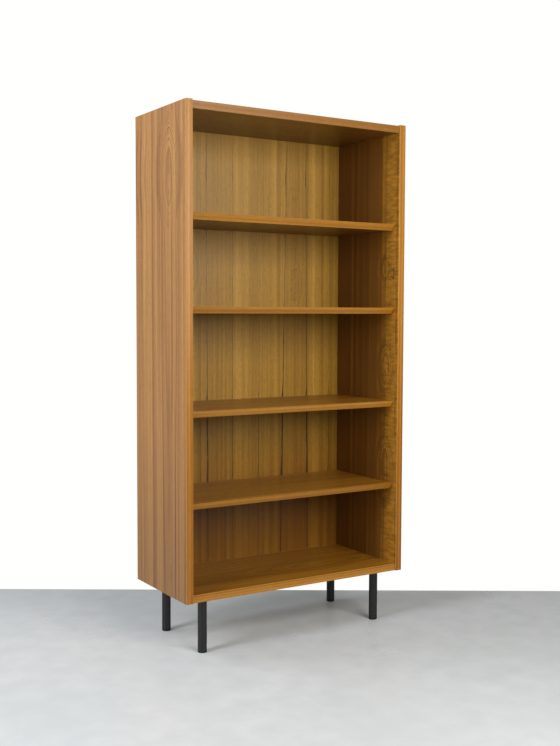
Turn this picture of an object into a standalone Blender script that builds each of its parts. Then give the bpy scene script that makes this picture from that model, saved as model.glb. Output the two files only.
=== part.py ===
# Bookcase with adjustable shelves: a teak-veneered case on four round steel legs.
# The origin is on the floor under the middle of the case. +X is to the right of
# someone facing the bookcase, the open front faces -Y, and +Z is up. Metres.

import math

import bmesh
import bpy
from mathutils import Matrix

# Case
OVERALL_WIDTH = 0.750
OVERALL_DEPTH = 0.326
CASE_HEIGHT = 1.374
SIDE_THICKNESS = 0.022
TOP_THICKNESS = 0.022
BOTTOM_THICKNESS = 0.022
TOP_SET_DOWN = 0.002          # top board's upper face below the ends of the sides
FRONT_SETBACK = 0.005         # top and bottom boards behind the sides' front edges
ARRIS = 0.0012                # rounding along the boards' edges
ARRIS_STEPS = 2

# Back
BACK_THICKNESS = 0.004
REBATE_WIDTH = 0.010          # how far the back laps over each side

# Shelves
SHELF_COUNT = 4
SHELF_THICKNESS = 0.019
SHELF_FRONT_SETBACK = 0.0175  # upper front edge behind the sides' front edges
SHELF_UNDERCUT = 0.0135       # lower front edge behind the upper one
SHELF_ARRIS = 0.0008
SHELF_END_CLEARANCE = 0.001
SHELF_REAR_CLEARANCE = 0.0015

# Shelf pins and the rows of holes that take them
PIN_DIAMETER = 0.005
PIN_IN_SIDE = 0.010
PIN_UNDER_SHELF = 0.010
PIN_CHAMFER = 0.0006
PIN_TRAVEL = 0.011            # a pin is free of its hole after this travel
PIN_FROM_FRONT = 0.060        # front row behind the sides' front edges
PIN_FROM_BACK = 0.050         # rear row in front of the back
HOLE_PITCH = 0.032
ROW_START = 0.045             # lowest place in the row above the bottom board
SPARE_HOLES = 1               # holes bored above and below each pin
NOTCH_SIDE_CLEARANCE = 0.0015
NOTCH_END_CLEARANCE = 0.002
NOTCH_RELIEF = 0.001          # a notch is this much deeper than the pin is thick

# Dowels between the sides and the top and bottom boards
DOWEL_DIAMETER = 0.008
DOWEL_IN_SIDE = 0.012
DOWEL_IN_BOARD = 0.020
DOWEL_CHAMFER = 0.001
DOWEL_FROM_EDGE = 0.055       # from the boards' front and rear edges

# Legs
LEG_HEIGHT = 0.156            # floor to the underside of the case
LEG_DIAMETER = 0.026
LEG_WALL = 0.0015
LEG_FROM_EDGE = 0.042         # axis from the bottom board's front and rear edges
LEG_FROM_SIDE = 0.0515        # axis from the inner face of the side
PLATE_THICKNESS = 0.003
PLATE_RIM = 0.009             # outside the ring of screws
PLATE_CHAMFER = 0.0005
GLIDE_FOOT = 0.004            # foot of the glide under the tube's end
GLIDE_CHAMFER = 0.0015
GLIDE_PLUG = 0.014            # part of the glide inside the tube

# Screws through the leg plates
SCREWS_PER_PLATE = 3
SCREW_FROM_TUBE = 0.010
SCREW_LENGTH = 0.016
SCREW_DIAMETER = 0.004
SCREW_TIP = 0.003
HEAD_DIAMETER = 0.008
HEAD_HEIGHT = 0.0022

# Fits and facets
SEAT_GAP = 0.0003             # between faces that touch on the real bookcase
OVERSHOOT = 0.004             # how far a cutter reaches out of the wood
LEG_FACETS = 32
SMALL_FACETS = 12
SMOOTH_ANGLE = math.radians(35)

# Places worked out from the sizes above
half_width = OVERALL_WIDTH / 2
half_depth = OVERALL_DEPTH / 2
inner_half_width = half_width - SIDE_THICKNESS
case_top = LEG_HEIGHT + CASE_HEIGHT
top_face = case_top - TOP_SET_DOWN
bottom_face = LEG_HEIGHT + BOTTOM_THICKNESS
back_face = half_depth - BACK_THICKNESS
board_front = -half_depth + FRONT_SETBACK
board_rear = back_face - SEAT_GAP
board_half_length = inner_half_width - SEAT_GAP
clear_height = top_face - TOP_THICKNESS - bottom_face

pin_radius = PIN_DIAMETER / 2
pin_length = PIN_IN_SIDE + PIN_UNDER_SHELF
notch_depth = PIN_DIAMETER + NOTCH_RELIEF
pin_to_underside = notch_depth - SEAT_GAP - pin_radius
pin_rows = {"front": -half_depth + PIN_FROM_FRONT, "rear": back_face - PIN_FROM_BACK}
sides = {"left": -1, "right": 1}

leg_radius = LEG_DIAMETER / 2
screw_ring = leg_radius + SCREW_FROM_TUBE
plate_radius = screw_ring + PLATE_RIM
plate_underside = LEG_HEIGHT - SEAT_GAP - PLATE_THICKNESS
leg_rows = {"front": board_front + LEG_FROM_EDGE, "rear": board_rear - LEG_FROM_EDGE}


def finish(name, color, roughness, metallic=0.0):
    material = bpy.data.materials.new(name)
    material.use_nodes = True
    shader = material.node_tree.nodes["Principled BSDF"]
    shader.inputs["Base Color"].default_value = (*color, 1.0)
    shader.inputs["Roughness"].default_value = roughness
    shader.inputs["Metallic"].default_value = metallic
    return material


def add_part(name, mesh, material, location=(0, 0, 0), rotation=(0, 0, 0), parent=None):
    part = bpy.data.objects.new(name, mesh)
    bpy.context.scene.collection.objects.link(part)
    part.location = location
    part.rotation_euler = rotation
    part.parent = parent
    if material and not mesh.materials:
        mesh.materials.append(material)
    return part


def add_cutter(name, mesh, parent=None):
    cutter = add_part(name, mesh, None, parent=parent)
    cutter.hide_render = True
    cutter.display_type = "WIRE"
    return cutter


def cut(part, *cutters):
    for cutter in cutters:
        boolean = part.modifiers.new(cutter.name, "BOOLEAN")
        boolean.operation = "DIFFERENCE"
        boolean.solver = "EXACT"
        boolean.object = cutter


def mesh_from(name, body):
    bmesh.ops.recalc_face_normals(body, faces=body.faces)
    mesh = bpy.data.meshes.new(name)
    body.to_mesh(mesh)
    body.free()
    return mesh


def smooth(mesh):
    mesh.shade_smooth()
    mesh.set_sharp_from_angle(angle=SMOOTH_ANGLE)
    return mesh


def block(size):
    body = bmesh.new()
    bmesh.ops.create_cube(body, size=1.0)
    bmesh.ops.scale(body, vec=size, verts=body.verts)
    return body


def round_edges(body, radius, chosen=None):
    edges = [edge for edge in body.edges if chosen is None or chosen(edge)]
    bmesh.ops.bevel(
        body, geom=edges, offset=radius, offset_type="OFFSET", affect="EDGES",
        segments=ARRIS_STEPS, profile=0.5, clamp_overlap=True)


def is_front_edge(edge):
    return all(corner.co.y < 0 for corner in edge.verts) and abs(
        edge.verts[0].co.x - edge.verts[1].co.x) > ARRIS


def turned(name, outline):
    """A solid turned about Z. outline lists (radius, height), closed unless it ends on the axis."""
    facets = LEG_FACETS if max(radius for radius, _ in outline) > DOWEL_DIAMETER else SMALL_FACETS
    body = bmesh.new()
    points = [body.verts.new((radius, 0, height)) for radius, height in outline]
    edges = [body.edges.new(pair) for pair in zip(points, points[1:])]
    if outline[0][0] > 0:
        edges.append(body.edges.new((points[-1], points[0])))
    bmesh.ops.spin(
        body, geom=points + edges, cent=(0, 0, 0), axis=(0, 0, 1),
        angle=2 * math.pi, steps=facets, use_merge=True)
    bmesh.ops.remove_doubles(body, verts=body.verts, dist=1e-6)
    return smooth(mesh_from(name, body))


def round_bar(name, radius, length, chamfer):
    half = length / 2
    return turned(name, [
        (0, -half), (radius - chamfer, -half), (radius, -half + chamfer),
        (radius, half - chamfer), (radius - chamfer, half), (0, half)])


def round_space(name, radius, length):
    half = length / 2
    return turned(name, [(0, -half), (radius, -half), (radius, half), (0, half)])


def repeated(name, mesh, places):
    """One mesh that holds a copy of another at each place, for cutters."""
    body = bmesh.new()
    for place in places:
        before = len(body.verts)
        body.from_mesh(mesh)
        body.verts.ensure_lookup_table()
        bmesh.ops.transform(body, matrix=place, verts=body.verts[before:])
    return mesh_from(name, body)


def along_x(x, y, z):
    return Matrix.Translation((x, y, z)) @ Matrix.Rotation(math.pi / 2, 4, "Y")


def shelf_holes():
    """Row places of the pins, top shelf first: the highest hole below even spacing."""
    bay = (clear_height + SHELF_THICKNESS) / (SHELF_COUNT + 1)
    lowest_top = ROW_START - pin_to_underside + SHELF_THICKNESS
    return [
        math.floor((bay * number - lowest_top) / HOLE_PITCH)
        for number in range(SHELF_COUNT, 0, -1)]


def pin_height(hole):
    return bottom_face + ROW_START + hole * HOLE_PITCH


def make_pin_hole_cutter():
    depth = PIN_IN_SIDE + SEAT_GAP
    length = depth + OVERSHOOT
    mouth_to_middle = depth - length / 2
    hole_mesh = round_space("pin_hole", pin_radius + SEAT_GAP, length)
    places = []
    for side in sides.values():
        for row in pin_rows.values():
            for shelf_hole in shelf_holes():
                for spare in range(-SPARE_HOLES, SPARE_HOLES + 1):
                    x = side * (inner_half_width + mouth_to_middle)
                    places.append(along_x(x, row, pin_height(shelf_hole + spare)))
    return add_cutter("pin_holes", repeated("pin_holes", hole_mesh, places))


def dowel_places():
    length = DOWEL_IN_SIDE + DOWEL_IN_BOARD
    middle = inner_half_width + DOWEL_IN_SIDE - length / 2
    heights = {
        "top": top_face - TOP_THICKNESS / 2,
        "bottom": LEG_HEIGHT + BOTTOM_THICKNESS / 2}
    rows = {"front": board_front + DOWEL_FROM_EDGE, "rear": board_rear - DOWEL_FROM_EDGE}
    return {
        f"dowel_{level}_{side}_{row}": (sign * middle, y, z)
        for level, z in heights.items()
        for side, sign in sides.items()
        for row, y in rows.items()}


def make_dowels(material):
    length = DOWEL_IN_SIDE + DOWEL_IN_BOARD
    mesh = round_bar("dowel", DOWEL_DIAMETER / 2, length, DOWEL_CHAMFER)
    for name, place in dowel_places().items():
        add_part(name, mesh, material, place, (0, math.pi / 2, 0))
    space = round_space("dowel_space", DOWEL_DIAMETER / 2 + SEAT_GAP, length + 2 * SEAT_GAP)
    places = [along_x(*place) for place in dowel_places().values()]
    return add_cutter("dowel_spaces", repeated("dowel_spaces", space, places))


def make_rebate_cutter():
    """The space of the back, run out past the rear and the ends of the sides."""
    depth = BACK_THICKNESS + SEAT_GAP + OVERSHOOT
    body = block((
        2 * (inner_half_width + REBATE_WIDTH), depth, CASE_HEIGHT + 2 * OVERSHOOT))
    middle = (0, half_depth + OVERSHOOT - depth / 2, LEG_HEIGHT + CASE_HEIGHT / 2)
    bmesh.ops.translate(body, vec=middle, verts=body.verts)
    return add_cutter("rebate_space", mesh_from("rebate_space", body))


def make_sides(material, *cutters):
    for side, sign in sides.items():
        body = block((SIDE_THICKNESS, OVERALL_DEPTH, CASE_HEIGHT))
        round_edges(body, ARRIS)
        x = sign * (half_width - SIDE_THICKNESS / 2)
        z = LEG_HEIGHT + CASE_HEIGHT / 2
        panel = add_part(f"{side}_side", mesh_from(f"{side}_side", body), material, (x, 0, z))
        cut(panel, *cutters)


def make_board(name, thickness, underside, material, *cutters):
    body = block((2 * board_half_length, board_rear - board_front, thickness))
    round_edges(body, ARRIS, is_front_edge)
    middle = (0, (board_front + board_rear) / 2, underside + thickness / 2)
    cut(add_part(name, mesh_from(name, body), material, middle), *cutters)


def make_back(material):
    width = 2 * (inner_half_width + REBATE_WIDTH - SEAT_GAP)
    height = top_face - LEG_HEIGHT
    body = block((width, BACK_THICKNESS, height))
    middle = (0, back_face + BACK_THICKNESS / 2, LEG_HEIGHT + height / 2)
    add_part("back_panel", mesh_from("back_panel", body), material, middle)


def make_notch_mesh(length, middle_y):
    """Stopped notches under the shelf's ends, one over each pin, in the shelf's own frame."""
    run = PIN_UNDER_SHELF + PIN_TRAVEL + NOTCH_END_CLEARANCE - SHELF_END_CLEARANCE
    width = PIN_DIAMETER + 2 * NOTCH_SIDE_CLEARANCE
    notch = mesh_from("notch", block((run + OVERSHOOT, width, notch_depth + OVERSHOOT)))
    x = length / 2 - run + (run + OVERSHOOT) / 2
    z = -SHELF_THICKNESS / 2 + notch_depth - (notch_depth + OVERSHOOT) / 2
    places = [
        Matrix.Translation((sign * x, row - middle_y, z))
        for sign in sides.values()
        for row in pin_rows.values()]
    return repeated("notches", notch, places)


def make_shelves(material):
    front = -half_depth + SHELF_FRONT_SETBACK
    rear = back_face - SHELF_REAR_CLEARANCE
    length = 2 * (inner_half_width - SHELF_END_CLEARANCE)
    middle_y = (front + rear) / 2
    body = block((length, rear - front, SHELF_THICKNESS))
    for corner in body.verts:
        if corner.co.y < 0 and corner.co.z < 0:
            corner.co.y += SHELF_UNDERCUT
    round_edges(body, SHELF_ARRIS)
    shelf_mesh = mesh_from("shelf", body)
    notch_mesh = make_notch_mesh(length, middle_y)
    for number, hole in enumerate(shelf_holes(), start=1):
        underside = pin_height(hole) - pin_to_underside
        place = (0, middle_y, underside + SHELF_THICKNESS / 2)
        shelf = add_part(f"shelf_{number}", shelf_mesh, material, place)
        cut(shelf, add_cutter(f"notches_{number}", notch_mesh, parent=shelf))


def make_pins(material):
    mesh = round_bar("shelf_pin", pin_radius, pin_length, PIN_CHAMFER)
    for number, hole in enumerate(shelf_holes(), start=1):
        for side, sign in sides.items():
            for row, y in pin_rows.items():
                x = sign * (inner_half_width + PIN_IN_SIDE - pin_length / 2)
                place = (x, y, pin_height(hole))
                add_part(f"pin_{number}_{side}_{row}", mesh, material, place, (0, math.pi / 2, 0))


def screw_outline(clearance=0.0):
    """Countersunk screw standing point up, its head's flat face at height 0."""
    shank = SCREW_DIAMETER / 2 + clearance
    head = HEAD_DIAMETER / 2 + clearance
    head_face = -OVERSHOOT if clearance else 0
    end = SCREW_LENGTH + clearance
    outline = [(0, head_face), (head, head_face)]
    if clearance:
        outline.append((head, 0))
    return outline + [(shank, HEAD_HEIGHT + clearance), (shank, end - SCREW_TIP), (0, end)]


def leg_places():
    x = inner_half_width - LEG_FROM_SIDE
    return {
        f"{row}_{side}": (sign * x, y)
        for row, y in leg_rows.items()
        for side, sign in sides.items()}


def screw_places():
    """Each leg's screws, point up, in a ring whose first screw faces the case's middle."""
    places = {}
    for corner, (x, y) in leg_places().items():
        first = math.atan2(-y, -x)
        for number in range(SCREWS_PER_PLATE):
            angle = first + 2 * math.pi * number / SCREWS_PER_PLATE
            places[f"plate_screw_{corner}_{number + 1}"] = (
                x + screw_ring * math.cos(angle), y + screw_ring * math.sin(angle), plate_underside)
    return places


def make_screws(material):
    mesh = turned("plate_screw", screw_outline())
    for name, place in screw_places().items():
        add_part(name, mesh, material, place)
    space = turned("screw_space", screw_outline(SEAT_GAP))
    places = [Matrix.Translation(place) for place in screw_places().values()]
    return add_cutter("screw_spaces", repeated("screw_spaces", space, places))


def make_legs(steel, plastic, screw_spaces):
    bore = leg_radius - LEG_WALL
    plug = bore - SEAT_GAP
    tube_low = GLIDE_FOOT + SEAT_GAP
    tube_high = plate_underside - SEAT_GAP
    plug_top = tube_low + GLIDE_PLUG
    foot = leg_radius - GLIDE_CHAMFER
    plate_top = plate_underside + PLATE_THICKNESS
    plate_rim = plate_radius - PLATE_CHAMFER
    tube_mesh = turned("leg", [
        (bore, tube_low), (leg_radius, tube_low), (leg_radius, tube_high), (bore, tube_high)])
    plate_mesh = turned("leg_plate", [
        (0, plate_underside), (plate_rim, plate_underside),
        (plate_radius, plate_underside + PLATE_CHAMFER), (plate_radius, plate_top), (0, plate_top)])
    glide_mesh = turned("glide", [
        (0, 0), (foot, 0), (leg_radius, GLIDE_CHAMFER), (leg_radius, GLIDE_FOOT),
        (plug, GLIDE_FOOT), (plug, plug_top), (0, plug_top)])
    for corner, (x, y) in leg_places().items():
        frame = add_part(f"leg_frame_{corner}", None, None, (x, y, 0))
        add_part(f"leg_{corner}", tube_mesh, steel, parent=frame)
        add_part(f"glide_{corner}", glide_mesh, plastic, parent=frame)
        cut(add_part(f"leg_plate_{corner}", plate_mesh, steel, parent=frame), screw_spaces)


def build():
    for old in list(bpy.data.objects):
        bpy.data.objects.remove(old)
    side_teak = finish("side_teak", (0.40, 0.22, 0.11), 0.42)
    board_teak = finish("board_teak", (0.38, 0.19, 0.08), 0.42)
    shelf_teak = finish("shelf_teak", (0.34, 0.17, 0.07), 0.42)
    back_teak = finish("back_teak", (0.32, 0.19, 0.08), 0.50)
    black_steel = finish("black_steel", (0.012, 0.012, 0.013), 0.45)
    nylon = finish("nylon", (0.03, 0.03, 0.03), 0.55)
    plated_steel = finish("plated_steel", (0.55, 0.54, 0.50), 0.30, 1.0)
    beech = finish("beech", (0.60, 0.42, 0.26), 0.60)

    rebate_space = make_rebate_cutter()
    pin_holes = make_pin_hole_cutter()
    dowel_spaces = make_dowels(beech)
    screw_spaces = make_screws(plated_steel)
    make_sides(side_teak, rebate_space, pin_holes, dowel_spaces)
    make_board("top_panel", TOP_THICKNESS, top_face - TOP_THICKNESS, board_teak, dowel_spaces)
    make_board("bottom_panel", BOTTOM_THICKNESS, LEG_HEIGHT, board_teak, dowel_spaces, screw_spaces)
    make_back(back_teak)
    make_shelves(shelf_teak)
    make_pins(plated_steel)
    make_legs(black_steel, nylon, screw_spaces)


build()
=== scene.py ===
import math

import bmesh
import bpy
from mathutils import Matrix, Vector


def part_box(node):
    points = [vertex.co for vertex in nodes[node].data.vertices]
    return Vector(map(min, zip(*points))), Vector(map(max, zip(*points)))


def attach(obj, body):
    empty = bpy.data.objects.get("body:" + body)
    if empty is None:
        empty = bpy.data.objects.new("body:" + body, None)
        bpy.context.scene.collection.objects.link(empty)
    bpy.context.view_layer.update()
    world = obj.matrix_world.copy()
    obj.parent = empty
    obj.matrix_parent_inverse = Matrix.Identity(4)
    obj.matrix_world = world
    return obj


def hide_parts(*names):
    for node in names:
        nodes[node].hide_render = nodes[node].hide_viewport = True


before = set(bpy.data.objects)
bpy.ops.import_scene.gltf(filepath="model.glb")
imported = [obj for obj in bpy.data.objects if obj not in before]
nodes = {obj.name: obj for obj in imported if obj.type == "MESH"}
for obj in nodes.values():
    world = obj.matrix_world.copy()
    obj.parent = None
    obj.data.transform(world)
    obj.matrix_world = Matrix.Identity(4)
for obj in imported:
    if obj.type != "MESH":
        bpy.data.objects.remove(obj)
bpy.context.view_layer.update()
scene = bpy.context.scene
print("frame loaded:", len(nodes), "pieces")


def linear(hexColor):
    channels = [int(hexColor[i:i + 2], 16) / 255 for i in (1, 3, 5)]
    return tuple(c / 12.92 if c <= 0.04045 else ((c + 0.055) / 1.055) ** 2.4 for c in channels) + (1.0,)


def plug(tree, socket, value):
    # a number or colour is set; a node, or one of its outputs, is linked
    if isinstance(value, bpy.types.Node):
        value = next(output for output in value.outputs if output.enabled)
    if isinstance(value, bpy.types.NodeSocket):
        tree.links.new(value, socket)
    else:
        socket.default_value = value


def addNode(tree, kind, *values, named=None, **settings):
    # values fill the first inputs, named the rest
    node = tree.nodes.new(kind)
    for key, value in settings.items():
        setattr(node, key, value)
    for key, value in [*enumerate(values), *(named or {}).items()]:
        plug(tree, node.inputs[key], value)
    return node


def calc(tree, operation, *values):
    return addNode(tree, "ShaderNodeMath", *values, operation=operation)


def ranged(tree, value, start, end, low=0.0, high=1.0, **settings):
    # carries the value from one range to another and holds it at the ends
    return addNode(tree, "ShaderNodeMapRange", value, start, end, low, high, **settings)


def noise(tree, place, scale, detail):
    return addNode(tree, "ShaderNodeTexNoise", named={"Vector": place, "Scale": scale, "Detail": detail})


def noiseAlong(tree, value, length, detail):
    # noise that depends on one value alone, about one wave in this length
    return addNode(tree, "ShaderNodeTexNoise", noise_dimensions="1D", named={
        "W": calc(tree, "MULTIPLY", value, 1 / length), "Scale": 1.0, "Detail": detail})


def throwDice(tree, number):
    return addNode(tree, "ShaderNodeTexWhiteNoise", noise_dimensions="1D", named={"W": number})


def ramp(tree, value, *stops):
    # each stop is a position and a hex colour, or a plain grey level
    node = addNode(tree, "ShaderNodeValToRGB", value)
    elements = node.color_ramp.elements
    while len(elements) > 1:
        elements.remove(elements[-1])
    for i, (position, color) in enumerate(stops):
        stop = elements[0] if i == 0 else elements.new(position)
        stop.position = position
        stop.color = linear(color) if isinstance(color, str) else (color, color, color, 1.0)
    return node


def overlaid(tree, share, base, hexColor, blend="MIX"):
    # the base colour with this share of another over it
    return addNode(tree, "ShaderNodeMix", data_type="RGBA", blend_type=blend, named={
        0: share, 6: base, 7: linear(hexColor)})


def bumped(tree, strength, distance, height):
    return addNode(tree, "ShaderNodeBump", named={
        "Strength": strength, "Distance": distance, "Height": height})


def newMaterial(name):
    material = bpy.data.materials.new(name)
    material.use_nodes = True
    return material, material.node_tree


def objectPlace(tree):
    return addNode(tree, "ShaderNodeTexCoord").outputs["Object"]


def finished(material, looks):
    # sets or links the shader's inputs by their names
    tree = material.node_tree
    for name, value in looks.items():
        plug(tree, tree.nodes["Principled BSDF"].inputs[name], value)
    return material


def addObject(name, mesh):
    piece = bpy.data.objects.new(name, mesh)
    scene.collection.objects.link(piece)
    return piece


def turned(name, outline, steps=72, material=None):
    # a solid turned about Z from (radius, height) points in metres, closed unless it ends on the axis
    body = bmesh.new()
    points = [body.verts.new((radius, 0, height)) for radius, height in outline]
    edges = [body.edges.new(pair) for pair in zip(points, points[1:])]
    if outline[0][0] > 0:
        edges.append(body.edges.new((points[-1], points[0])))
    bmesh.ops.spin(body, geom=points + edges, cent=(0, 0, 0), axis=(0, 0, 1),
                   angle=2 * math.pi, steps=steps, use_merge=True)
    bmesh.ops.remove_doubles(body, verts=body.verts, dist=1e-6)
    bmesh.ops.recalc_face_normals(body, faces=body.faces)
    mesh = bpy.data.meshes.new(name)
    body.to_mesh(mesh)
    body.free()
    mesh.shade_smooth()
    mesh.set_sharp_from_angle(angle=math.radians(35))
    if material:
        mesh.materials.append(material)
    return mesh


def baked(piece):
    # the piece's mesh as its modifiers leave it, with the modifiers gone
    settled = bpy.context.evaluated_depsgraph_get()
    piece.data = bpy.data.meshes.new_from_object(
        piece.evaluated_get(settled), preserve_all_data_layers=True, depsgraph=settled)
    piece.modifiers.clear()
    return piece


def mounted(piece, body, slot, *replaced):
    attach(piece, body)
    if replaced:
        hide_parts(*replaced)
    return piece


view = {"place": (-1.6228, -2.6384, 0.9608), "lens": 49.306, "turn": 32.018, "tilt": -3.419, "roll": 0.21}

camera = bpy.data.objects.new("camera", bpy.data.cameras.new("camera"))
scene.collection.objects.link(camera)
camera.data.lens = view["lens"]
camera.matrix_world = (
    Matrix.Translation(view["place"])
    @ Matrix.Rotation(math.radians(-view["turn"]), 4, "Z")
    @ Matrix.Rotation(math.radians(90 + view["tilt"]), 4, "X")
    @ Matrix.Rotation(math.radians(view["roll"]), 4, "Z"))
scene.camera = camera
scene.view_settings.view_transform = "Standard"


studio = {
    "floor": "#E0E3E4", "floorScuff": "#D6DADB", "backdrop": "#FEFEFC",
    "floorSize": 9.0, "backdropSize": (9.0, 4.2), "backdropBehind": 3.486, "sky": 0.2}

lights = {
    # name: (place, aimed at, width, height, watts, colour)
    "frontKey": ((0.15, -2.2, 1.5), (0.0, 0.0, 1.15), 1.5, 1.1, 46, "#FFFCF6"),
    "leftWindow": ((-3.0, -0.6, 1.8), (0.0, -0.1, 1.0), 1.0, 1.7, 68, "#F8FBFF"),
    "leftCeiling": ((-1.8, 0.9, 2.6), (-1.2, 0.4, 0.0), 1.2, 1.2, 25, "#F6F9FD")}


def clearBehind(material):
    # seen from the front of the sheet alone
    tree = material.node_tree
    behind = addNode(tree, "ShaderNodeNewGeometry").outputs["Backfacing"]
    clear = addNode(tree, "ShaderNodeBsdfTransparent")
    mixed = addNode(tree, "ShaderNodeMixShader", behind, tree.nodes["Principled BSDF"], clear)
    plug(tree, tree.nodes["Material Output"].inputs["Surface"], mixed)
    return material


def sealedScreed():
    # sealed cement screed, power-floated: cloudy grey patches, a low blurred shine, faint scuffs
    material, tree = newMaterial("sealedScreed")
    place = objectPlace(tree)
    clouds = noise(tree, place, 1.6, 5.0)
    scuffs = noise(tree, place, 14.0, 6.0)
    share = ranged(tree, calc(tree, "MULTIPLY", clouds, scuffs), 0.15, 0.36)
    finished(material, {
        "Base Color": overlaid(tree, share, linear(studio["floorScuff"]), studio["floor"]),
        "Roughness": ranged(tree, clouds, 0.3, 0.7, 0.34, 0.26)})
    return clearBehind(material)


def whiteCard():
    # bright white paper behind the set: the camera's rays alone see it, from its front, so it neither
    # lights nor shades anything and never hides the object
    material, tree = newMaterial("whiteCard")
    finished(material, {
        "Base Color": (0, 0, 0, 1), "Roughness": 1.0,
        "Emission Color": linear(studio["backdrop"]), "Emission Strength": 1.0})
    return clearBehind(material)


def sheetOf(name, corners, material):
    mesh = bpy.data.meshes.new(name)
    mesh.from_pydata(corners, [], [range(len(corners))])
    mesh.materials.append(material)
    sheet = addObject(name, mesh)
    return sheet


def buildStudio():
    half = studio["floorSize"] / 2
    sheetOf("floor", [(-half, -half, 0), (half, -half, 0), (half, half, 0), (-half, half, 0)], sealedScreed())
    turn = Matrix.Rotation(math.radians(-view["turn"]), 4, "Z")
    foot = Vector((*view["place"][:2], 0)) + turn @ Vector((0, studio["backdropBehind"], 0))
    wide = turn @ Vector((studio["backdropSize"][0] / 2, 0, 0))
    tall = Vector((0, 0, studio["backdropSize"][1]))
    corners = [foot - wide, foot + wide, foot + wide + tall, foot - wide + tall]
    card = sheetOf("backdrop", corners, whiteCard())
    card.visible_diffuse = card.visible_glossy = card.visible_transmission = card.visible_shadow = False
    for name, (place, aim, width, height, watts, color) in lights.items():
        lamp = bpy.data.lights.new(name, "AREA")
        lamp.shape = "RECTANGLE"
        lamp.size, lamp.size_y, lamp.energy = width, height, watts
        lamp.color = linear(color)[:3]
        holder = bpy.data.objects.new(name, lamp)
        scene.collection.objects.link(holder)
        toward = (Vector(aim) - Vector(place)).to_track_quat("-Z", "Y")
        holder.matrix_world = Matrix.Translation(place) @ toward.to_matrix().to_4x4()
    world = bpy.data.worlds.new("studio")
    scene.world = world
    world.use_nodes = True
    sky = world.node_tree.nodes["Background"]
    sky.inputs["Color"].default_value = (1, 1, 1, 1)
    sky.inputs["Strength"].default_value = studio["sky"]


buildStudio()
print("studio set")


# Crown-cut and straight-cut teak, sliced 0.6 mm thick, sanded and oiled to a low satin.
# The eye sees broad bands of two tones that follow the growth rings, a thin dark line at the end
# of each ring, open pores as short dark dashes, and here and there a flame where the cut just
# touches a ring. All measures are in millimetres; across and along are the board's own axes.
plainTeak = {
    "axes": ("Y", "Z", "X"),       # across the grain, along it, through the sheet
    "tones": ["#A2734A", "#B08054", "#B98C58", "#C09562"],
    "line": "#7A4B26", "pore": "#5E3A1E", "seam": "#4A2C14",
    "seed": 0.0,
    "heart": 0.0, "heartDepth": 40.0,
    "ring": 4.2, "band": 16.0, "ringContrast": 0.34,
    "slow": 34.0, "wobble": 5.0,
    "fibreContrast": 0.30, "poreContrast": 0.34, "mottleContrast": 0.10,
    "leaves": [],                  # joints between leaves: (across, slope, width, tone of the next leaf)
    "firstTone": 0.0, "leafShift": 0.0, "seamSway": 1.0, "seamWave": 90.0, "seamContrast": 0.85,
    "seamMiddle": 850.0,           # height that a sloping joint's place is given for
    # how fine a joint is: at the upper height, at the lower one, and past the last two heights
    "seamOpens": (1000.0, 480.0), "seamTop": 1.0, "seamWide": 0.5,
    "seamShuts": (440.0, 410.0), "seamFoot": 1.0,
    "flames": [],                  # (across, along, half width, half length, height)
    "sapwood": None,               # (from, to, added tone, ripple contrast), a paler strip
    "foot": None,                  # (from, to, added tone, tint) along the grain: painted shade, darker and redder towards the foot, where less light reaches
    "specular": 0.4, "roughness": (0.37, 0.46)}

# width across and length along the grain of each kind of mark, and its noise detail; a real pore is
# 0.3 mm wide, drawn about twice as coarse so that it shows
grainSizes = {
    "slow": (95, 1100, 2.0), "wobble": (13, 150, 2.0), "streak": (11, 1500, 5.0),
    "fibre": (1.3, 75, 3.0), "pore": (0.65, 16, 1.0), "mottle": (34, 8, 2.0)}


def leafPlan(tree, look, across, along):
    # where to cut each leaf from, its own tone, and the joints between leaves (1 on a joint)
    sway = noiseAlong(tree, along, look["seamWave"], 2.0)
    fineness = ranged(tree, along, *look["seamOpens"], look["seamTop"], look["seamWide"])
    fineness = calc(tree, "MULTIPLY", fineness, ranged(tree, sway, 0.3, 0.7, 1.6, 0.6))
    tight = ranged(tree, along, *look["seamShuts"], 1.0, look["seamFoot"])
    fineness = calc(tree, "MULTIPLY", fineness, tight)
    number, toneShift, seam, tone = 0.0, look["firstTone"], 0.0, look["firstTone"]
    for joint, slope, width, nextTone in look["leaves"]:
        lean = calc(tree, "MULTIPLY_ADD", along, -slope, -joint + slope * look["seamMiddle"])
        offset = calc(tree, "ADD", across, calc(tree, "MULTIPLY_ADD", sway, look["seamSway"], lean))
        beyond = calc(tree, "GREATER_THAN", offset, 0.0)
        number = calc(tree, "ADD", beyond, number)
        toneShift = calc(tree, "MULTIPLY_ADD", beyond, nextTone - tone, toneShift)
        distance = calc(tree, "MULTIPLY", calc(tree, "ABSOLUTE", offset), fineness)
        near = ranged(tree, distance, width * 0.3, width * 0.7, 1.0, 0.0)
        seam = calc(tree, "MAXIMUM", near, seam)
        tone = nextTone
    dice = throwDice(tree, calc(tree, "ADD", number, look["seed"] + 0.5))
    thrown = addNode(tree, "ShaderNodeSeparateColor", dice.outputs["Color"])
    cutAcross = calc(tree, "MULTIPLY_ADD", thrown.outputs[0], look["leafShift"], across)
    cutAlong = calc(tree, "MULTIPLY_ADD", thrown.outputs[1], 3000.0, along)
    return cutAcross, cutAlong, toneShift, seam


def grainNoises(tree, look, cutAcross, cutAlong, through):
    # noise of each grain size, stretched along the grain
    cut = addNode(tree, "ShaderNodeCombineXYZ", cutAcross, cutAlong,
                  calc(tree, "ADD", through, look["seed"] * 311))
    grain = {}
    for kind, (width, length, detail) in grainSizes.items():
        scaled = addNode(tree, "ShaderNodeVectorMath", cut, (1 / width, 1 / length, 1 / 120),
                         operation="MULTIPLY")
        grain[kind] = noise(tree, scaled, 1.0, detail).outputs[0]
    return grain


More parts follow.
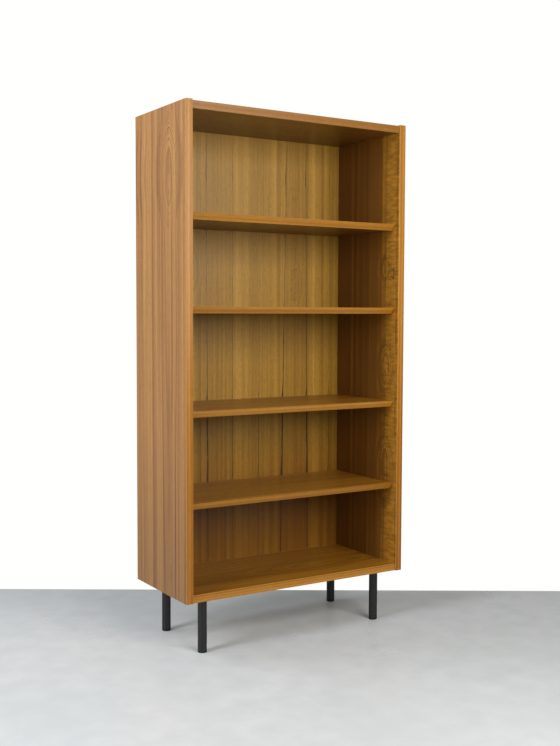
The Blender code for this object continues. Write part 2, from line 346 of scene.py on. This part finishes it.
def ringRadius(tree, look, cutAcross, flat, grain):
    # millimetres from the heart, bent by slow noise and smaller in the flames, and how far in a
    # flame each point is
    fromHeart = calc(tree, "SUBTRACT", cutAcross, look["heart"])
    squared = calc(tree, "MULTIPLY_ADD", fromHeart, fromHeart, look["heartDepth"] ** 2)
    radius = calc(tree, "SQRT", squared)
    for kind in ("slow", "wobble"):
        radius = calc(tree, "MULTIPLY_ADD", grain[kind], look[kind], radius)
    figure = None
    for flameAcross, flameAlong, halfWidth, halfLength, height in look["flames"]:
        local = addNode(tree, "ShaderNodeMapping", vector_type="TEXTURE", named={
            "Vector": flat, "Location": (flameAcross, flameAlong, 0), "Scale": (halfWidth, halfLength, 1)})
        parts = addNode(tree, "ShaderNodeSeparateXYZ", local)
        # the small number rounds the flame's tip
        side = calc(tree, "SQRT", calc(tree, "MULTIPLY_ADD", parts.outputs[0], parts.outputs[0], 0.004))
        tip = calc(tree, "MULTIPLY_ADD", parts.outputs[1], parts.outputs[1], side)
        lift = ranged(tree, tip, 0.0, 1.0, 1.0, 0.0, interpolation_type="SMOOTHSTEP")
        radius = calc(tree, "MULTIPLY_ADD", lift, -height, radius)
        figure = calc(tree, "MAXIMUM", figure, lift) if figure else lift
    return radius, figure


def ringLines(tree, look, radius, figure):
    # pale early wood, then a dark line, each ring with its own strength
    rings = calc(tree, "MULTIPLY", radius, 1 / look["ring"])
    shape = ramp(tree, calc(tree, "FRACT", rings), (0.0, 0.0), (0.6, 0.12), (0.82, 1.0), (1.0, 0.0))
    dice = throwDice(tree, calc(tree, "FLOOR", rings))
    strength = ranged(tree, dice.outputs["Value"], 0.0, 1.0, 0.25, 1.0)
    contrast = look["ringContrast"]
    if figure:
        contrast = ranged(tree, figure, 0.0, 0.5, contrast, look["figureContrast"])
    return calc(tree, "MULTIPLY", calc(tree, "MULTIPLY", shape, strength), contrast)


def woodColor(tree, look, radius, grain, across, along, toneShift):
    # bands of tone follow the rings, long streaks break them up, fibres and the shimmer across the
    # grain lighten and darken the sheet
    bands = noiseAlong(tree, radius, look["band"], 3.0)
    tone = ranged(tree, calc(tree, "MULTIPLY_ADD", grain["streak"], 1.1, bands), 0.65, 1.45)
    if toneShift:
        tone = calc(tree, "ADD", tone, toneShift)
    ripple = look["mottleContrast"]
    if look["sapwood"]:
        start, end, paler, rippled = look["sapwood"]
        sap = ranged(tree, across, start, end, interpolation_type="SMOOTHSTEP")
        tone = calc(tree, "MULTIPLY_ADD", sap, paler, tone)
        ripple = calc(tree, "MULTIPLY_ADD", sap, rippled, ripple)
    # painted shade: the sheet darkens and takes a redder tint towards its foot, where less light reaches
    foot = None
    if look["foot"]:
        start, end, footShadeDepth, footShadeTint = look["foot"]
        foot = ranged(tree, along, start, end, interpolation_type="SMOOTHSTEP")
        tone = calc(tree, "MULTIPLY_ADD", foot, footShadeDepth, tone)
    count = len(look["tones"]) - 1
    color = ramp(tree, tone, *[(i / count, hexColor) for i, hexColor in enumerate(look["tones"])])
    fibres = look["fibreContrast"]
    level = calc(tree, "MULTIPLY_ADD", grain["fibre"], fibres, 1 - fibres / 2)
    mottle = calc(tree, "SUBTRACT", grain["mottle"], 0.5)
    level = calc(tree, "MULTIPLY_ADD", mottle, ripple, level)
    color = addNode(tree, "ShaderNodeVectorMath", color, operation="SCALE", named={"Scale": level})
    return overlaid(tree, foot, color, footShadeTint, "MULTIPLY") if foot else color


def teakVeneer(name, **changes):
    look = {**plainTeak, **changes}
    material, tree = newMaterial(name)
    inMm = addNode(tree, "ShaderNodeVectorMath", objectPlace(tree), operation="SCALE", named={
        "Scale": 1000.0})
    xyz = addNode(tree, "ShaderNodeSeparateXYZ", inMm)
    across, along, through = (xyz.outputs[axis] for axis in look["axes"])
    cutAcross, cutAlong, toneShift, seam = across, along, None, None
    if look["leaves"]:
        cutAcross, cutAlong, toneShift, seam = leafPlan(tree, look, across, along)
    grain = grainNoises(tree, look, cutAcross, cutAlong, through)
    flat = addNode(tree, "ShaderNodeCombineXYZ", across, along)
    radius, figure = ringRadius(tree, look, cutAcross, flat, grain)
    line = ringLines(tree, look, radius, figure)

    color = woodColor(tree, look, radius, grain, across, along, toneShift)
    color = overlaid(tree, line, color, look["line"])
    pores = ranged(tree, grain["pore"], 0.56, 0.68, 0.0, look["poreContrast"])
    color = overlaid(tree, pores, color, look["pore"])
    if seam:
        color = overlaid(tree, calc(tree, "MULTIPLY", seam, look["seamContrast"]), color, look["seam"])
    # rubbed arrises: the finish is thin there and the wood a little paler
    worn = addNode(tree, "ShaderNodeAttribute", attribute_name="arris").outputs["Fac"]
    color = overlaid(tree, calc(tree, "MULTIPLY", worn, grain["mottle"]), color, look["tones"][-1])

    gloss = calc(tree, "MULTIPLY", grain["mottle"], grain["fibre"])
    relief = calc(tree, "SUBTRACT", grain["fibre"], calc(tree, "ADD", pores, line))
    return finished(material, {
        "Base Color": color, "Specular IOR Level": look["specular"],
        "Roughness": ranged(tree, gloss, 0.12, 0.38, *look["roughness"]),
        "Normal": bumped(tree, 0.35, 0.0002, relief)})


# each face of the case and its own sheet of veneer
sideTones = ["#7E5230", "#9C6E42", "#B07F4B", "#C29656"]
innerTones = ["#6E4515", "#764B18", "#80531C", "#A87424"]
backTones = ["#8C6018", "#9A7220", "#AA8029", "#BA8E38"]
boardTones = ["#6A3E10", "#925E18", "#AA7420", "#C28C2A"]
# the undersides' tones are painted shade: darker for faces that get little light
undersideShadeTones = ["#4E300E", "#664214", "#765018", "#866024"]
edgeTones = ["#8D5910", "#A06716", "#AF7720", "#BD8A30"]
edgeMarks = {
    "tones": edgeTones, "ring": 2.8, "band": 7.0, "slow": 12.0, "wobble": 1.0, "ringContrast": 0.22}
boardMarks = {
    "axes": ("Y", "X", "Z"), "figureContrast": 0.8, "ring": 11.0, "ringContrast": 0.3, "wobble": 2.0,
    "heartDepth": 60.0, "fibreContrast": 0.45, "line": "#46280E", "roughness": (0.27, 0.4)}
sideMarks = {
    "tones": sideTones, "heartDepth": 60.0, "figureContrast": 0.85, "ring": 11.0, "ringContrast": 0.26,
    "band": 24.0, "slow": 24.0, "wobble": 2.0, "line": "#4A2A12", "fibreContrast": 0.42}
innerMarks = {
    "tones": innerTones, "heartDepth": 50.0, "figureContrast": 1.0, "ring": 12.0, "ringContrast": 0.06,
    "leafShift": 60.0, "line": "#2C1505", "fibreContrast": 0.4}

sheets = {
    # the left side's foot is painted shade: darker towards the floor, where the light falls off
    "leftOuter": teakVeneer(
        "teakLeftOuter", **sideMarks, seed=1.0, heart=-61.0, specular=0.5, foot=(700, 150, -0.2, "#F0ECCE"),
        flames=[(-61, 1350, 130, 178, 80), (-61, 1288, 36, 80, 24), (-61, 1286, 13, 26, 12),
                (165, 1350, 110, 180, 20), (-67, 219, 16, 30, 14)]),
    "leftInner": teakVeneer(
        "teakLeftInner", **innerMarks, seed=2.0, heart=-80.0, leaves=[(4, 0.0, 1.4, 0.15)], wobble=2.5,
        flames=[(-80, 620, 120, 260, 90), (-86, 1180, 80, 160, 50)]),
    "rightInner": teakVeneer(
        "teakRightInner", **innerMarks, seed=3.0, heart=-103.0, leaves=[(-1, 0.0, 1.4, -0.12)], wobble=6.0,
        sapwood=(-50, -125, 0.48, 1.5),
        flames=[(-103, 470, 100, 145, 80), (-103, 790, 100, 110, 64), (-95, 1096, 48, 56, 50),
                (-140, 1076, 34, 42, 36), (-95, 752, 28, 36, 30)]),
    "rightOuter": teakVeneer(
        "teakRightOuter", **sideMarks, seed=4.0, heart=40.0,
        flames=[(40, 470, 130, 230, 90), (36, 520, 40, 90, 26), (-110, 1240, 60, 120, 40)]),
    "back": teakVeneer(
        "teakBackLeaves", axes=("X", "Z", "Y"), tones=backTones, seed=5.0, heart=20.0, heartDepth=24.0,
        ring=5.0, ringContrast=0.12, band=30.0, slow=30.0, wobble=2.0, fibreContrast=0.5, poreContrast=0.5,
        leafShift=240.0, seamSway=5.0, firstTone=-0.12, seamTop=2.0, seamFoot=2.2,
        # the foot is painted shade of the lower bays, darker and redder, with some of the leaves' own redder
        # tone
        foot=(620, 330, -0.3, "#DDCAA0"),
        seam="#1E1005", line="#5A3A12",
        leaves=[(-160, 0.0, 0.9, -0.05), (-137, -0.004, 3.4, 0.05), (-47, 0.0, 1.5, 0.10),
                (50, 0.006, 1.3, 0.08), (142, 0.014, 4.0, -0.10), (231, -0.010, 3.6, 0.08),
                (320, 0.0, 1.2, -0.1)],
        figureContrast=0.7, flames=[(190, 1050, 40, 90, 34), (-185, 1085, 46, 90, 30)]),
    "backRear": teakVeneer(
        "backingVeneer", axes=("X", "Z", "Y"), tones=["#A08A66", "#AE9872", "#B8A37C", "#C2AE88"],
        line="#8A7048", seed=6.0, ringContrast=0.2, roughness=(0.6, 0.75), seamSway=2.0, leafShift=300.0,
        leaves=[(-180, 0.0, 1.0, 0.1), (0, 0.0, 1.0, -0.1), (180, 0.0, 1.0, 0.05)]),
    "top": teakVeneer("teakTop", **boardMarks, tones=sideTones, seed=7.0, heart=20.0,
                      flames=[(20, -80, 110, 260, 80)]),
    "board": teakVeneer("teakBoard", **boardMarks, tones=boardTones, seed=8.0, heart=-30.0,
                        flames=[(-30, 120, 100, 260, 76)]),
    "shelf": teakVeneer("teakShelf", **boardMarks, tones=boardTones, seed=9.0, heart=60.0,
                        flames=[(60, -160, 90, 240, 70)]),
    # the undersides: darker tones, painted shade
    "under": teakVeneer("teakUnderside", **boardMarks, tones=undersideShadeTones, seed=14.0, heart=30.0,
                        flames=[(30, 60, 110, 260, 76)]),
    # the upright front edges' foot is painted shade: darker and more saturated towards the floor, where the
    # light falls off
    "edgeUpright": teakVeneer("teakEdgeUpright", axes=("X", "Z", "Y"), seed=10.0,
                              foot=(1050, 450, -0.3, "#FBF4CB"), **edgeMarks),
    "edgeLevel": teakVeneer("teakEdgeLevel", axes=("Z", "X", "Y"), seed=11.0, **edgeMarks),
    # the top board's front edge: darker tones, a painted shade where the light reaches it less
    "edgeTopShaded": teakVeneer("teakEdgeTop", axes=("Z", "X", "Y"), seed=15.0, **{
        **edgeMarks, "tones": ["#744710", "#875614", "#95621C", "#A27228"]}),
    "edgeDeep": teakVeneer("teakEdgeDeep", axes=("X", "Y", "Z"), seed=12.0, **edgeMarks),
    "edgeEnd": teakVeneer("teakEdgeEnd", axes=("Z", "Y", "X"), seed=13.0, **edgeMarks)}


def chipboard():
    # pressed wood chips, seen only inside bores and notches: coarse straw-brown flecks, matt
    material, tree = newMaterial("chipboard")
    chips = addNode(tree, "ShaderNodeTexVoronoi", named={"Vector": objectPlace(tree), "Scale": 700.0})
    shade = addNode(tree, "ShaderNodeSeparateColor", chips.outputs["Color"])
    return finished(material, {
        "Base Color": ramp(tree, shade.outputs[0], (0.0, "#6E4E2C"), (0.6, "#94744A"), (1.0, "#B39468")),
        "Normal": bumped(tree, 0.5, 0.0003, chips.outputs["Distance"]), "Roughness": 0.8})


core = chipboard()
print("veneers mixed:", len(sheets))


def newTree(name, inputs):
    tree = bpy.data.node_groups.new(name, "GeometryNodeTree")
    for label, kind in inputs.items():
        tree.interface.new_socket(label, in_out="INPUT", socket_type="NodeSocket" + kind)
    tree.interface.new_socket("Geometry", in_out="OUTPUT", socket_type="NodeSocketGeometry")
    return tree, tree.nodes.new("NodeGroupInput").outputs


def endTree(tree, geometry, material):
    whole = addNode(tree, "GeometryNodeRealizeInstances", geometry)
    painted = addNode(tree, "GeometryNodeSetMaterial", whole, named={"Material": material})
    addNode(tree, "NodeGroupOutput", painted)
    return tree


def grown(name, tree, **values):
    # an object whose mesh the tree makes; values are the tree's inputs, with _ for each space
    piece = addObject(name, bpy.data.meshes.new(name))
    modifier = piece.modifiers.new(tree.name, "NODES")
    modifier.node_group = tree
    for socket in tree.interface.items_tree:
        key = socket.name.replace(" ", "_")
        if socket.in_out == "INPUT" and key in values:
            modifier[socket.identifier] = values[key]
    return baked(piece)


def ringTree():
    # models in a ring round each corner of a rectangle; each ring's first one faces the middle
    tree, given = newTree("ringsAtCorners", {
        "Model": "Object", "Spread X": "Float", "Spread Y": "Float", "Place": "Vector",
        "Ring Radius": "Float", "Per Ring": "Int", "Material": "Material"})
    corners = addNode(tree, "GeometryNodeMeshGrid", given["Spread X"], given["Spread Y"], 2, 2)
    placed = addNode(tree, "GeometryNodeTransform", corners, named={"Translation": given["Place"]})
    inward = addNode(tree, "ShaderNodeVectorMath", addNode(tree, "GeometryNodeInputPosition"), (-1, -1, 0),
                     operation="MULTIPLY")
    facing = addNode(tree, "FunctionNodeAlignRotationToVector", axis="X", named={"Vector": inward})
    ring = addNode(tree, "GeometryNodeMeshCircle", given["Per Ring"], given["Ring Radius"])
    ringed = addNode(tree, "GeometryNodeInstanceOnPoints", placed, named={
        "Instance": ring, "Rotation": facing})
    spots = addNode(tree, "GeometryNodeRealizeInstances", ringed)
    model = addNode(tree, "GeometryNodeObjectInfo", given["Model"]).outputs["Geometry"]
    return endTree(tree, addNode(tree, "GeometryNodeInstanceOnPoints", spots, named={"Instance": model}),
                   given["Material"])


def borderTree():
    # models spaced round an upright rectangle, pointing to +Y, each a little off its place
    tree, given = newTree("roundTheBorder", {
        "Model": "Object", "Width": "Float", "Height": "Float", "Count": "Int", "Place": "Vector",
        "Stray": "Float", "Seed": "Int", "Material": "Material"})
    border = addNode(tree, "GeometryNodeCurvePrimitiveQuadrilateral", given["Width"], given["Height"])
    spots = addNode(tree, "GeometryNodeCurveToPoints", border, given["Count"])
    lean = addNode(tree, "FunctionNodeRandomValue", data_type="FLOAT_VECTOR", named={
        0: (-1, -1, 0), 1: (1, 1, 0), "Seed": given["Seed"]})
    stray = addNode(tree, "ShaderNodeVectorMath", lean, operation="SCALE", named={"Scale": given["Stray"]})
    moved = addNode(tree, "GeometryNodeSetPosition", spots, named={"Offset": stray})
    model = addNode(tree, "GeometryNodeObjectInfo", given["Model"]).outputs["Geometry"]
    driven = addNode(tree, "GeometryNodeInstanceOnPoints", moved, named={"Instance": model})
    upright = addNode(tree, "GeometryNodeTransform", driven, named={
        "Translation": given["Place"], "Rotation": (-math.pi / 2, 0, 0)})
    return endTree(tree, upright, given["Material"])


rings = ringTree()
border = borderTree()


def carve(piece, cutter):
    # takes the cutter's shape out of the piece, then removes the cutter
    boolean = piece.modifiers.new("carve", "BOOLEAN")
    boolean.object = cutter
    baked(piece)
    bpy.data.objects.remove(cutter)
    return piece


nailShape = {
    "head": 0.0018, "dome": 0.00035, "sunk": 0.0006, "dimple": 0.0026, "fromEdge": 0.0050,
    "count": 34, "stray": 0.0012, "seed": 7, "shank": 0.0007, "length": 0.012, "tip": 0.002,
    "neck": 0.0004, "rim": 0.0002, "roundSteps": 4, "cutAbove": 0.002}


def nailOutline():
    head, dome, steps = nailShape["head"], nailShape["dome"], nailShape["roundSteps"]
    angles = [math.pi / 2 * i / steps for i in range(steps)]
    crown = [(head * math.cos(a), dome * math.sin(a)) for a in angles]
    shank, length = nailShape["shank"], nailShape["length"]
    return [(0, -length), (shank, nailShape["tip"] - length), (shank, -nailShape["neck"]),
            (head, -nailShape["rim"]), *crown, (0, dome)]


def dimpleOutline():
    wide, deep, steps = nailShape["dimple"], nailShape["sunk"], nailShape["roundSteps"]
    slope = [(wide * i / steps, -deep * math.cos(math.pi / 2 * i / steps)) for i in range(steps + 1)]
    return [*slope, (wide, nailShape["cutAbove"]), (0, nailShape["cutAbove"])]


def nailed(name, outline, depth, material):
    # a turned outline set at every nail's place round the back sheet, this deep below its rear face
    low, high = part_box("back_panel")
    middle = (low + high) / 2
    inset = 2 * nailShape["fromEdge"]
    model = addObject(name + "Model", turned(name + "Model", outline, 20, material))
    made = grown(name, border, Model=model, Width=high.x - low.x - inset, Height=high.z - low.z - inset,
                 Count=nailShape["count"], Place=(0, high.y - depth, middle.z),
                 Stray=nailShape["stray"], Seed=nailShape["seed"], Material=material)
    bpy.data.objects.remove(model)
    return made


boards = {"skinDepth": 0.003, "slantDepth": 0.016, "arrisWidth": 0.0014, "smoothAngle": 40}


def skinKey(face, low, high):
    # which face of the board a facet belongs to, such as "-Y", or None inside a bore or notch
    axis = max(range(3), key=lambda i: abs(face.normal[i]))
    positive = face.normal[axis] > 0
    plane = (high if positive else low)[axis]
    depth = abs(face.calc_center_median()[axis] - plane)
    slanted = abs(face.normal[axis]) < 0.99
    if depth > (boards["slantDepth"] if slanted else boards["skinDepth"]):
        return None
    return ("+" if positive else "-") + "XYZ"[axis]


def isArris(face):
    longest = max(edge.calc_length() for edge in face.edges)
    slanted = max(abs(part) for part in face.normal) < 0.99
    return slanted and 2 * face.calc_area() / longest < boards["arrisWidth"]


def veneeredBoard(name, nodeName, body, slot, skins, cutter=None):
    # the board as it is cut and rounded, with a sheet of veneer on each face; the cutter is taken out
    low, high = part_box(nodeName)
    shape = bmesh.new()
    shape.from_mesh(nodes[nodeName].data)
    bmesh.ops.remove_doubles(shape, verts=shape.verts, dist=1e-6)
    materials = list(dict.fromkeys([*skins.values(), core]))
    arris = shape.faces.layers.float.new("arris")
    for face in shape.faces:
        face.material_index = materials.index(skins.get(skinKey(face, low, high), core))
        face[arris] = 1.0 if isArris(face) else 0.0
    bmesh.ops.dissolve_limit(shape, angle_limit=math.radians(0.2), verts=shape.verts, edges=shape.edges,
                             delimit={"MATERIAL"})
    mesh = bpy.data.meshes.new(name)
    for material in materials:
        mesh.materials.append(material)
    shape.to_mesh(mesh)
    shape.free()
    mesh.shade_smooth()
    mesh.set_sharp_from_angle(angle=math.radians(boards["smoothAngle"]))
    piece = addObject(name, mesh)
    if cutter:
        carve(piece, cutter)
    weighted = piece.modifiers.new("weighted", "WEIGHTED_NORMAL")
    weighted.keep_sharp = True
    return mounted(baked(piece), body, slot, nodeName)


def buildBoards():
    for side, outward in (("left", "-X"), ("right", "+X")):
        inward = "+X" if outward == "-X" else "-X"
        veneeredBoard(f"side_panel_{side}", f"{side}_side", "case", "side_veneer", {
            outward: sheets[f"{side}Outer"], inward: sheets[f"{side}Inner"],
            "-Y": sheets["edgeUpright"], "+Y": sheets["edgeUpright"],
            "-Z": sheets["edgeDeep"], "+Z": sheets["edgeDeep"]})
    for name, nodeName, face, edge in (("top_board", "top_panel", "top", "edgeTopShaded"),
                                       ("bottom_board", "bottom_panel", "board", "edgeLevel")):
        veneeredBoard(name, nodeName, "case", "board_veneer", {
            "+Z": sheets[face], "-Z": sheets["under"], "-Y": sheets[edge], "+Y": sheets["edgeLevel"],
            "-X": sheets["edgeEnd"], "+X": sheets["edgeEnd"]})
    for number in range(1, 5):
        veneeredBoard(f"adjustable_shelf_{number}", f"shelf_{number}", f"shelf_{number}", "shelf_veneer", {
            "+Z": sheets["shelf"], "-Z": sheets["under"],
            "-Y": sheets["edgeLevel"], "+Y": sheets["edgeLevel"],
            "-X": sheets["edgeEnd"], "+X": sheets["edgeEnd"]})
    veneeredBoard("back_sheet", "back_panel", "case", "back_veneer", {
        "-Y": sheets["back"], "+Y": sheets["backRear"], "-Z": core, "+Z": core, "-X": core, "+X": core},
        nailed("dimples", dimpleOutline(), 0, sheets["backRear"]))


buildBoards()
print("boards veneered")


def powderCoat():
    # black polyester powder coat, baked on steel tube: charcoal satin with a fine orange peel; the peel
    # is 0.8 mm across, drawn at 1.5 mm
    material, tree = newMaterial("powderCoat")
    place = objectPlace(tree)
    scuffs = noise(tree, place, 60.0, 6.0)
    return finished(material, {
        "Base Color": ramp(tree, scuffs, (0.35, "#070708"), (0.6, "#0C0C0E"), (0.78, "#161618")),
        "Roughness": ranged(tree, scuffs, 0.3, 0.75, 0.38, 0.55),
        "Normal": bumped(tree, 0.25, 0.0002, noise(tree, place, 650.0, 2.0))})


def mouldedNylon():
    # black nylon 6, injection moulded: near-black, dull, with a faint spark-eroded grain
    material, tree = newMaterial("mouldedNylon")
    place = objectPlace(tree)
    pits = addNode(tree, "ShaderNodeTexVoronoi", named={"Vector": place, "Scale": 1400.0})
    dust = noise(tree, place, 90.0, 5.0)
    return finished(material, {
        "Base Color": ramp(tree, dust, (0.4, "#0F0F10"), (0.62, "#161617"), (0.75, "#2E2D2B")),
        "Roughness": ranged(tree, dust, 0.3, 0.7, 0.5, 0.7),
        "Normal": bumped(tree, 0.3, 0.0001, pits.outputs["Distance"])})


def platedSteel(name, bright, dull, tarnish, low, high):
    # plated steel, drawn and barrel finished: bright with small dull patches and drawing marks
    material, tree = newMaterial(name)
    place = objectPlace(tree)
    patches = noise(tree, place, 320.0, 4.0)
    return finished(material, {
        "Base Color": ramp(tree, patches, (0.3, tarnish), (0.5, dull), (0.65, bright)),
        "Roughness": ranged(tree, patches, 0.35, 0.65, high, low),
        "Normal": bumped(tree, 0.15, 0.00005, noise(tree, place, 2600.0, 2.0)), "Metallic": 1.0})


def turnedBeech():
    # beech, turned to dowels: pale pinkish straw with short dark ray flecks, dry and matt
    material, tree = newMaterial("turnedBeech")
    lengthwise = addNode(tree, "ShaderNodeVectorMath", objectPlace(tree), (60, 900, 900),
                         operation="MULTIPLY")
    flecks = noise(tree, lengthwise, 1.0, 3.0)
    return finished(material, {
        "Base Color": ramp(tree, flecks, (0.35, "#A87850"), (0.48, "#D2A67A"), (0.7, "#DDB68C")),
        "Normal": bumped(tree, 0.3, 0.0001, flecks), "Roughness": 0.7})


coat = powderCoat()
nylon = mouldedNylon()
nickel = platedSteel("nickelPlatedSteel", "#C9C5BB", "#B4AFA4", "#8C857A", 0.22, 0.4)
zinc = platedSteel("zincPlatedSteel", "#BFC3C6", "#A4A8AA", "#7E8081", 0.3, 0.5)
brightWire = platedSteel("drawnSteelWire", "#A9A7A2", "#8C8983", "#5D5851", 0.3, 0.55)


legShape = {
    "wall": 0.0015, "endRound": 0.0004, "weldWidth": 0.0024, "weldHeight": 0.0034, "weldSteps": 6,
    "plateRound": 0.0007, "holeTop": 0.0048, "holeBottom": 0.0023, "ringRadius": 0.023,
    "glideRound": 0.0013, "glideRoundSteps": 4, "grooveDepth": 0.0004, "grooveAt": 0.0026,
    "plateRoundSteps": 3, "fitGap": 0.0003, "holeClear": 0.001, "holeLip": 0.0004}


legCorners = ["front_left", "front_right", "rear_left", "rear_right"]


def middleOf(nodeName):
    low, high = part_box(nodeName)
    return (low + high) / 2, low, high


def standing(name, outline, middle, material, steps=96):
    mesh = turned(name, outline, steps, material)
    mesh.transform(Matrix.Translation((middle.x, middle.y, 0)))
    return addObject(name, mesh)


def roundedTurn(centre, radius, start, end, steps):
    # points of an arc in the turning plane, angles in degrees
    angles = [math.radians(start + (end - start) * i / steps) for i in range(steps + 1)]
    return [(centre[0] + radius * math.cos(a), centre[1] + radius * math.sin(a)) for a in angles]


def buildLegs():
    for corner in legCorners:
        middle, low, high = middleOf(f"leg_{corner}")
        radius = (high.x - low.x) / 2
        bore = radius - legShape["wall"]
        end = legShape["endRound"]
        weld = legShape["weldWidth"]
        rise = legShape["weldHeight"]
        bead = [
            (radius + weld * (1 - math.cos(t)), high.z - rise * (1 - math.sin(t)))
            for t in (math.pi / 2 * i / legShape["weldSteps"] for i in range(legShape["weldSteps"] + 1))]
        tube = standing(f"leg_tube_{corner}", [
            (bore, low.z), (radius - end, low.z), (radius, low.z + end), *bead, (bore, high.z)],
            middle, coat)
        mounted(tube, "case", "black_steel", f"leg_{corner}")

        middle, low, high = middleOf(f"leg_plate_{corner}")
        radius = (high.x - low.x) / 2
        soft = legShape["plateRound"]
        rounded = roundedTurn((radius - soft, low.z + soft), soft, -90, 0, legShape["plateRoundSteps"])
        plate = standing(f"mounting_plate_{corner}", [
            (0, low.z), *rounded, (radius, high.z), (0, high.z)], middle, coat)
        carve(plate, screwHoles(low.z, high.z))
        mounted(plate, "case", "black_steel", f"leg_plate_{corner}")

        middle, low, high = middleOf(f"glide_{corner}")
        radius = (high.x - low.x) / 2
        soft = legShape["glideRound"]
        groove = legShape["grooveDepth"]
        line = low.z + legShape["grooveAt"]
        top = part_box(f"leg_{corner}")[0].z - legShape["fitGap"]
        plug = bore - legShape["fitGap"]
        rounded = roundedTurn((radius - soft, low.z + soft), soft, -90, 0, legShape["glideRoundSteps"])
        foot = standing(f"foot_glide_{corner}", [
            (0, low.z), *rounded,
            (radius, line - groove), (radius - groove, line), (radius, line + groove),
            (radius, top), (plug, top), (plug, high.z), (0, high.z)], middle, nylon)
        mounted(foot, "case", "glide_plastic", f"glide_{corner}")


def legSpread():
    # the rectangle that the four legs stand on, and its middle
    left = middleOf("leg_front_left")[0]
    right = middleOf("leg_rear_right")[0]
    return right.x - left.x, right.y - left.y, (left.y + right.y) / 2


def screwHoles(bottom, top):
    # countersunk from below; the cutter stands clear of both faces of the plate
    wide, narrow = legShape["holeTop"], legShape["holeBottom"]
    under, over = bottom - legShape["holeClear"], top + legShape["holeClear"]
    outline = [(0, under), (wide, under), (wide, bottom), (narrow, top - legShape["holeLip"]),
               (narrow, over), (0, over)]
    model = addObject("holeModel", turned("holeModel", outline, 32, coat))
    spreadX, spreadY, middleY = legSpread()
    holes = grown("screwHoles", rings, Model=model, Spread_X=spreadX, Spread_Y=spreadY,
                  Place=(0, middleY, 0), Ring_Radius=legShape["ringRadius"], Per_Ring=3, Material=coat)
    bpy.data.objects.remove(model)
    return holes


screwShape = {
    "head": 0.0040, "headHeight": 0.0022, "headRim": 0.0003, "shank": 0.0016, "thread": 0.0020,
    "pitch": 0.0014, "length": 0.016, "tip": 0.003, "slotWidth": 0.0009, "slotLength": 0.0044,
    "slotDepth": 0.0014, "slotTaper": 0.35, "edge": 0.0001, "flank": 0.3}


def wedge(turn):
    # one arm of the cross recess, narrower towards its depth
    body = bmesh.new()
    bmesh.ops.create_cube(body, size=1.0)
    for corner in body.verts:
        taper = screwShape["slotTaper"] if corner.co.z > 0 else 1.0
        corner.co.x *= screwShape["slotLength"] * taper
        corner.co.y *= screwShape["slotWidth"] * (0.6 + 0.4 * taper)
        corner.co.z *= 2 * screwShape["slotDepth"]
    bmesh.ops.rotate(body, verts=body.verts, cent=(0, 0, 0), matrix=Matrix.Rotation(turn, 3, "Z"))
    mesh = bpy.data.meshes.new("wedge")
    body.to_mesh(mesh)
    body.free()
    return addObject("wedge", mesh)


def screwModel():
    # stands point up, its head's flat face at height 0
    form = screwShape
    outline = [(0, 0), (form["head"] - form["edge"], 0), (form["head"], form["headRim"]),
               (form["shank"], form["headHeight"])]
    z = form["headHeight"] + form["pitch"]
    flank = form["pitch"] * form["flank"]
    while z < form["length"] - form["tip"]:
        outline += [(form["shank"], z - flank), (form["thread"], z), (form["shank"], z + flank)]
        z += form["pitch"]
    outline += [(form["shank"], form["length"] - form["tip"]), (0, form["length"])]
    model = addObject("screwModel", turned("screwModel", outline, 36, zinc))
    return carve(carve(model, wedge(0)), wedge(math.pi / 2))


def buildScrews():
    model = screwModel()
    spreadX, spreadY, middleY = legSpread()
    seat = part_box("plate_screw_front_left_1")[0].z
    screws = grown("plate_screws", rings, Model=model, Spread_X=spreadX, Spread_Y=spreadY,
                   Place=(0, middleY, seat), Ring_Radius=legShape["ringRadius"], Per_Ring=3, Material=zinc)
    bpy.data.objects.remove(model)
    mounted(screws, "case", "screw_steel", *[name for name in nodes if name.startswith("plate_screw")])


pinShape = {"nose": 0.0012, "noseSteps": 4, "grooveDepth": 0.0002, "grooveHalf": 0.0003}


def buildPins():
    nose = pinShape["nose"]
    for name in [name for name in nodes if name.startswith("pin_")]:
        middle, low, high = middleOf(name)
        radius = (high.z - low.z) / 2
        half = (high.x - low.x) / 2
        rounded = roundedTurn((radius - nose, half - nose), nose, 90, 0, pinShape["noseSteps"])
        upper = [(0, half), *rounded, (radius, pinShape["grooveHalf"]),
                 (radius - pinShape["grooveDepth"], 0)]
        outline = [(x, -z) for x, z in upper] + upper[-2::-1]
        mesh = turned(name.replace("pin_", "shelf_pin_"), outline, 32, nickel)
        mesh.transform(Matrix.Translation(middle) @ Matrix.Rotation(math.pi / 2, 4, "Y"))
        mounted(addObject(mesh.name, mesh), name, "pin_steel", name)


def finishDowels():
    beech = turnedBeech()
    for name, node in nodes.items():
        if name.startswith("dowel_"):
            for slot in node.material_slots:
                slot.material = beech


buildLegs()
print("legs turned")
buildScrews()
buildPins()
finishDowels()
mounted(nailed("back_nails", nailOutline(), nailShape["sunk"], brightWire), "case", "screw_steel")
print("screws, pins, dowels and nails set")
